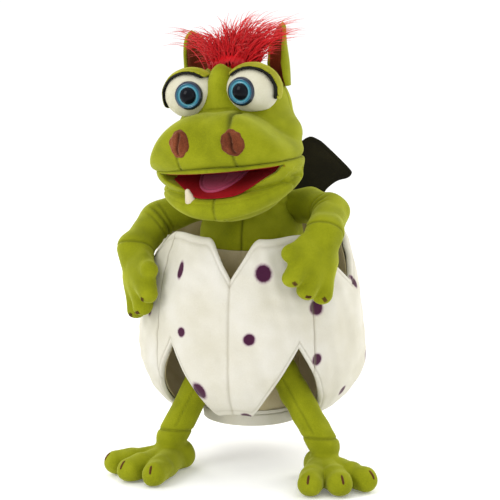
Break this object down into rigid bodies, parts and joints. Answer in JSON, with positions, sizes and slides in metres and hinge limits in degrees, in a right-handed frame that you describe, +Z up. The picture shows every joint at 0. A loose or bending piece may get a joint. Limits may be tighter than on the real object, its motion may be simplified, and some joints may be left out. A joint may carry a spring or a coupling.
{
  "type": "moving mouth hand puppet",
  "caption": "Plush dragon hand puppet hatching from a spotted eggshell, with a hinged mouth, jointed arms and legs, floppy ears, wings and a red hair tuft",
  "frame": {"origin": "centre of the hand opening under the egg, at the sleeve's bottom edge", "axes": "+Z up along the sleeve, the puppet faces -Y, its own left side is +X"},
  "size_m": [0.254, 0.2339, 0.4199],
  "materials": {
    "green_velour": "short pile velour",
    "egg_plush": "quilted plush with sprayed spots",
    "egg_cotton": "cotton lining",
    "wing_felt": "felt",
    "mouth_board": "flexible board",
    "mouth_fabric": "smooth knit",
    "pocket_fabric": "cotton",
    "eye_cloth": "stretch knit",
    "iris_plastic": "gloss",
    "pupil_plastic": "gloss",
    "washer_plastic": "matte",
    "lash_felt": "felt",
    "brown_minky": "short pile",
    "hair_fibre": "long pile fur",
    "tooth_felt": "felt",
    "tongue_felt": "felt",
    "claw_thread": "embroidery thread"
  },
  "bodies": {
    "body": {"body_sleeve": "green_velour", "sleeve_cuff": "green_velour", "egg_front": "egg_plush", "egg_left": "egg_plush", "egg_right": "egg_plush", "egg_back": "egg_plush", "egg_lining": "egg_cotton"},
    "neck_base": {"neck_lower": "green_velour"},
    "neck_top": {"neck_upper": "green_velour"},
    "head": {"head_back": "green_velour", "muzzle": "green_velour", "upper_mouth_plate": "mouth_board", "upper_palate": "mouth_fabric", "finger_pocket": "pocket_fabric", "eyeball_left": "eye_cloth", "eyeball_right": "eye_cloth", "iris_left": "iris_plastic", "iris_right": "iris_plastic", "pupil_left": "pupil_plastic", "pupil_right": "pupil_plastic", "eye_washer_left": "washer_plastic", "eye_washer_right": "washer_plastic", "eyelid_left": "green_velour", "eyelid_right": "green_velour", "lash_left": "lash_felt", "lash_right": "lash_felt", "nostril_left": "brown_minky", "nostril_right": "brown_minky", "hair_tuft": "hair_fibre"},
    "jaw": {"lower_jaw": "green_velour", "lower_mouth_plate": "mouth_board", "lower_palate": "mouth_fabric", "thumb_pocket": "pocket_fabric", "tooth": "tooth_felt"},
    "tongue": {"tongue": "tongue_felt"},
    "ear_left": {"ear_left": "green_velour", "ear_lining_left": "brown_minky"},
    "wing_left": {"wing_left": "wing_felt"},
    "upper_arm_left": {"upper_arm_left": "green_velour"},
    "forearm_left": {"forearm_left": "green_velour"},
    "hand_left": {"hand_left": "green_velour"},
    "leg_left": {"leg_left": "green_velour"},
    "foot_left": {"foot_left": "green_velour", "toe_claws_left": "claw_thread"},
    "ear_right": {"ear_right": "green_velour", "ear_lining_right": "brown_minky"},
    "wing_right": {"wing_right": "wing_felt"},
    "upper_arm_right": {"upper_arm_right": "green_velour"},
    "forearm_right": {"forearm_right": "green_velour"},
    "hand_right": {"hand_right": "green_velour"},
    "leg_right": {"leg_right": "green_velour"},
    "foot_right": {"foot_right": "green_velour", "toe_claws_right": "claw_thread"}
  },
  "joints": [
    {"name": "neck_tilt", "type": "hinge", "parent": "body", "child": "neck_base", "pos_m": [0, 0, 0.205], "axis": [0, 1, 0], "range_deg": [-7, 7]},
    {"name": "neck_nod", "type": "hinge", "parent": "neck_base", "child": "neck_top", "pos_m": [0, 0, 0.21725], "axis": [-1, 0, 0], "range_deg": [-9, 9]},
    {"name": "head_turn", "type": "hinge", "parent": "neck_top", "child": "head", "pos_m": [0, 0, 0.231], "axis": [0, 0, -1], "range_deg": [-20, 20]},
    {"name": "jaw_open", "type": "hinge", "parent": "head", "child": "jaw", "pos_m": [-0.005, -0.04, 0.24], "axis": [0.9848, -0.1384, 0.1045], "range_deg": [-16, 14]},
    {"name": "tongue_lift", "type": "hinge", "parent": "jaw", "child": "tongue", "pos_m": [-0.0062, -0.05136, 0.23631], "axis": [-0.9848, 0.1384, -0.1045], "range_deg": [0, 15], "stiffness_Nm_per_rad": 0.01},
    {"name": "ear_flop_left", "type": "hinge", "parent": "head", "child": "ear_left", "pos_m": [0.03721, -0.02372, 0.31353], "axis": [0.1392, 0.9903, 0], "range_deg": [0, 40], "stiffness_Nm_per_rad": 0.03},
    {"name": "ear_flop_right", "type": "hinge", "parent": "head", "child": "ear_right", "pos_m": [-0.05537, -0.01071, 0.30371], "axis": [-0.1392, -0.9903, 0], "range_deg": [0, 40], "stiffness_Nm_per_rad": 0.03},
    {"name": "wing_flap_left", "type": "hinge", "parent": "body", "child": "wing_left", "pos_m": [0.004, 0.05, 0.2], "axis": [0, 0, 1], "range_deg": [-30, 50], "stiffness_Nm_per_rad": 0.02},
    {"name": "wing_flap_right", "type": "hinge", "parent": "body", "child": "wing_right", "pos_m": [-0.004, 0.05, 0.2], "axis": [0, 0, -1], "range_deg": [-30, 50], "stiffness_Nm_per_rad": 0.02},
    {"name": "shoulder_raise_left", "type": "hinge", "parent": "body", "child": "upper_arm_left", "pos_m": [0.053, -0.003, 0.2], "axis": [-0.6585, -0.7526, 0], "range_deg": [0, 35]},
    {"name": "elbow_bend_left", "type": "hinge", "parent": "upper_arm_left", "child": "forearm_left", "pos_m": [0.077, -0.024, 0.197], "axis": [-0.1156, -0.2687, 0.9562], "range_deg": [0, 60]},
    {"name": "wrist_lift_left", "type": "hinge", "parent": "forearm_left", "child": "hand_left", "pos_m": [0.079, -0.064, 0.186], "axis": [-0.6461, -0.5888, 0.4856], "range_deg": [0, 40]},
    {"name": "shoulder_raise_right", "type": "hinge", "parent": "body", "child": "upper_arm_right", "pos_m": [-0.054, -0.003, 0.198], "axis": [-0.3251, 0.9457, 0], "range_deg": [0, 45]},
    {"name": "elbow_bend_right", "type": "hinge", "parent": "upper_arm_right", "child": "forearm_right", "pos_m": [-0.086, -0.014, 0.183], "axis": [0.2512, 0.4429, -0.8607], "range_deg": [0, 60]},
    {"name": "wrist_lift_right", "type": "hinge", "parent": "forearm_right", "child": "hand_right", "pos_m": [-0.098, -0.048, 0.162], "axis": [-0.4849, 0.6818, -0.5477], "range_deg": [0, 40]},
    {"name": "hip_swing_left", "type": "hinge", "parent": "body", "child": "leg_left", "pos_m": [0.039, -0.052, 0.056], "axis": [-1, 0, 0], "range_deg": [-10, 35]},
    {"name": "ankle_flex_left", "type": "hinge", "parent": "leg_left", "child": "foot_left", "pos_m": [0.077, -0.062, -0.005], "axis": [-0.891, -0.454, 0], "range_deg": [-20, 30]},
    {"name": "hip_swing_right", "type": "hinge", "parent": "body", "child": "leg_right", "pos_m": [-0.033, -0.053, 0.05], "axis": [-1, 0, 0], "range_deg": [-10, 35]},
    {"name": "ankle_flex_right", "type": "hinge", "parent": "leg_right", "child": "foot_right", "pos_m": [-0.06, -0.062, -0.005], "axis": [-0.8387, 0.5446, 0], "range_deg": [-20, 30]}
  ]
}
